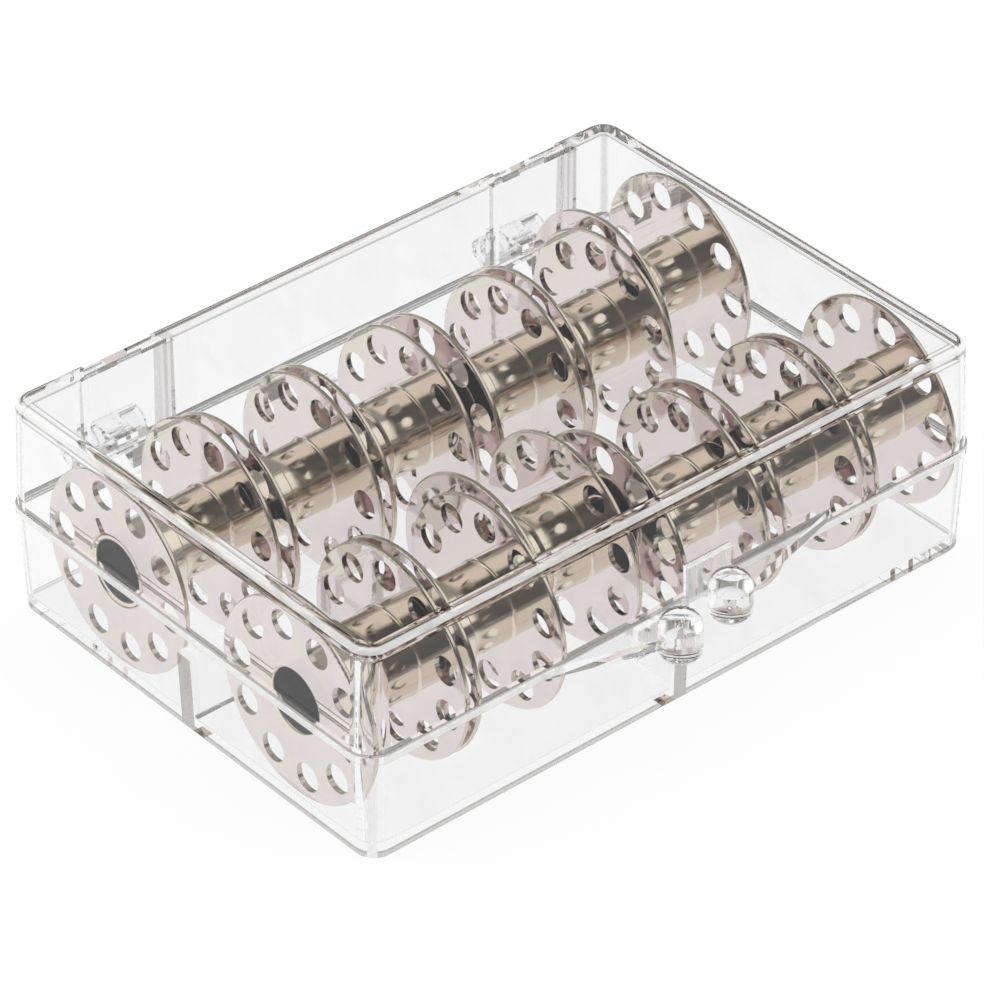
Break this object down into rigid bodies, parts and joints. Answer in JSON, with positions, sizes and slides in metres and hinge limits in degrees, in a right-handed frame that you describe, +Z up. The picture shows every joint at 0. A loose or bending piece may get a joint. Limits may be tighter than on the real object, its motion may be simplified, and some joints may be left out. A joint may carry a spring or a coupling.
{
  "type": "bobbin storage box",
  "caption": "Clear flat plastic box with a hinged lid and a two-knob finger latch, holding two rows of pressed metal sewing bobbins on edge between short ribs.",
  "frame": {"origin": "centre of the tray's underside", "axes": "+X along the length to the right seen from the latch side, -Y towards the latch, +Y towards the hinges, +Z up"},
  "size_m": [0.0748, 0.0618, 0.0235],
  "materials": {
    "clear_plastic": "clear polished mould",
    "nickel": "bright nickel plate on pressed steel"
  },
  "bodies": {
    "tray": {"tray": "clear_plastic"},
    "lid": {"lid": "clear_plastic"},
    "bobbin_01": {"bobbin_01_slotted_half": "nickel", "bobbin_01_plain_half": "nickel"},
    "bobbin_02": {"bobbin_02_slotted_half": "nickel", "bobbin_02_plain_half": "nickel"},
    "bobbin_03": {"bobbin_03_slotted_half": "nickel", "bobbin_03_plain_half": "nickel"},
    "bobbin_04": {"bobbin_04_slotted_half": "nickel", "bobbin_04_plain_half": "nickel"},
    "bobbin_05": {"bobbin_05_slotted_half": "nickel", "bobbin_05_plain_half": "nickel"},
    "bobbin_06": {"bobbin_06_slotted_half": "nickel", "bobbin_06_plain_half": "nickel"},
    "bobbin_07": {"bobbin_07_slotted_half": "nickel", "bobbin_07_plain_half": "nickel"},
    "bobbin_08": {"bobbin_08_slotted_half": "nickel", "bobbin_08_plain_half": "nickel"},
    "bobbin_09": {"bobbin_09_slotted_half": "nickel", "bobbin_09_plain_half": "nickel"},
    "bobbin_10": {"bobbin_10_slotted_half": "nickel", "bobbin_10_plain_half": "nickel"},
    "bobbin_11": {"bobbin_11_slotted_half": "nickel", "bobbin_11_plain_half": "nickel"},
    "bobbin_12": {"bobbin_12_slotted_half": "nickel", "bobbin_12_plain_half": "nickel"}
  },
  "joints": [
    {"name": "lid_hinge", "type": "hinge", "parent": "tray", "child": "lid", "pos_m": [0, 0.0284, 0.012], "axis": [-1, 0, 0], "range_deg": [0, 180]},
    {"name": "bobbin_01_roll", "type": "hinge", "parent": "tray", "child": "bobbin_01", "pos_m": [-0.03012, 0.01097, 0.0116], "axis": [1, 0, 0], "continuous": true},
    {"name": "bobbin_02_roll", "type": "hinge", "parent": "tray", "child": "bobbin_02", "pos_m": [-0.01835, 0.01043, 0.0116], "axis": [1, 0, 0], "continuous": true},
    {"name": "bobbin_03_roll", "type": "hinge", "parent": "tray", "child": "bobbin_03", "pos_m": [-0.00675, 0.0105, 0.0116], "axis": [1, 0, 0], "continuous": true},
    {"name": "bobbin_04_roll", "type": "hinge", "parent": "tray", "child": "bobbin_04", "pos_m": [0.00642, 0.0103, 0.0116], "axis": [1, 0, 0], "continuous": true},
    {"name": "bobbin_05_roll", "type": "hinge", "parent": "tray", "child": "bobbin_05", "pos_m": [0.01818, 0.0107, 0.0116], "axis": [1, 0, 0], "continuous": true},
    {"name": "bobbin_06_roll", "type": "hinge", "parent": "tray", "child": "bobbin_06", "pos_m": [0.0302, 0.01326, 0.0116], "axis": [1, 0, 0], "continuous": true},
    {"name": "bobbin_07_roll", "type": "hinge", "parent": "tray", "child": "bobbin_07", "pos_m": [-0.03005, -0.0148, 0.0116], "axis": [1, 0, 0], "continuous": true},
    {"name": "bobbin_08_roll", "type": "hinge", "parent": "tray", "child": "bobbin_08", "pos_m": [-0.01862, -0.01482, 0.0116], "axis": [1, 0, 0], "continuous": true},
    {"name": "bobbin_09_roll", "type": "hinge", "parent": "tray", "child": "bobbin_09", "pos_m": [-0.00707, -0.01204, 0.0116], "axis": [1, 0, 0], "continuous": true},
    {"name": "bobbin_10_roll", "type": "hinge", "parent": "tray", "child": "bobbin_10", "pos_m": [0.00624, -0.01488, 0.0116], "axis": [1, 0, 0], "continuous": true},
    {"name": "bobbin_11_roll", "type": "hinge", "parent": "tray", "child": "bobbin_11", "pos_m": [0.01852, -0.01475, 0.0116], "axis": [1, 0, 0], "continuous": true},
    {"name": "bobbin_12_roll", "type": "hinge", "parent": "tray", "child": "bobbin_12", "pos_m": [0.03007, -0.0148, 0.0116], "axis": [1, 0, 0], "continuous": true}
  ]
}
